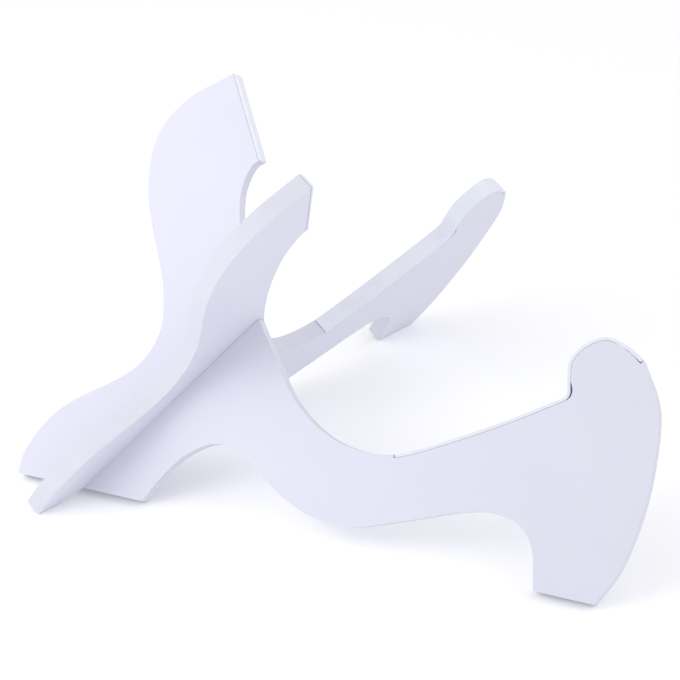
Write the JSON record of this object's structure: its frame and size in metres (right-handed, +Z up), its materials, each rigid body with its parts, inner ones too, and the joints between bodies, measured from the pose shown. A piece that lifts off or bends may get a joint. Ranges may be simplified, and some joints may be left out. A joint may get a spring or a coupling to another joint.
{
  "type": "ukulele stand",
  "caption": "Knock-down ukulele stand of two flat boards crossed in half-depth slots, each with a hooked cradle arm and a leaning horn lined with thin foam.",
  "frame": {"origin": "middle of the stand's width and depth, at the table", "axes": "+Z up; -Y is the front, where the instrument goes in; the left board's arm reaches to -X"},
  "size_m": [0.282, 0.2544, 0.1721],
  "materials": {
    "board": "satin white sheet",
    "pad": "matt white closed-cell foam"
  },
  "bodies": {
    "left_half": {"left_board": "board", "left_cradle_pad": "pad", "left_horn_pad": "pad"},
    "right_half": {"right_board": "board", "right_cradle_pad": "pad", "right_horn_pad": "pad"}
  },
  "joints": [
    {"name": "assembly_slide", "type": "slide", "parent": "left_half", "child": "right_half", "axis": [0, -0.7071, 0.7071], "range_m": [0, 0.065]}
  ]
}
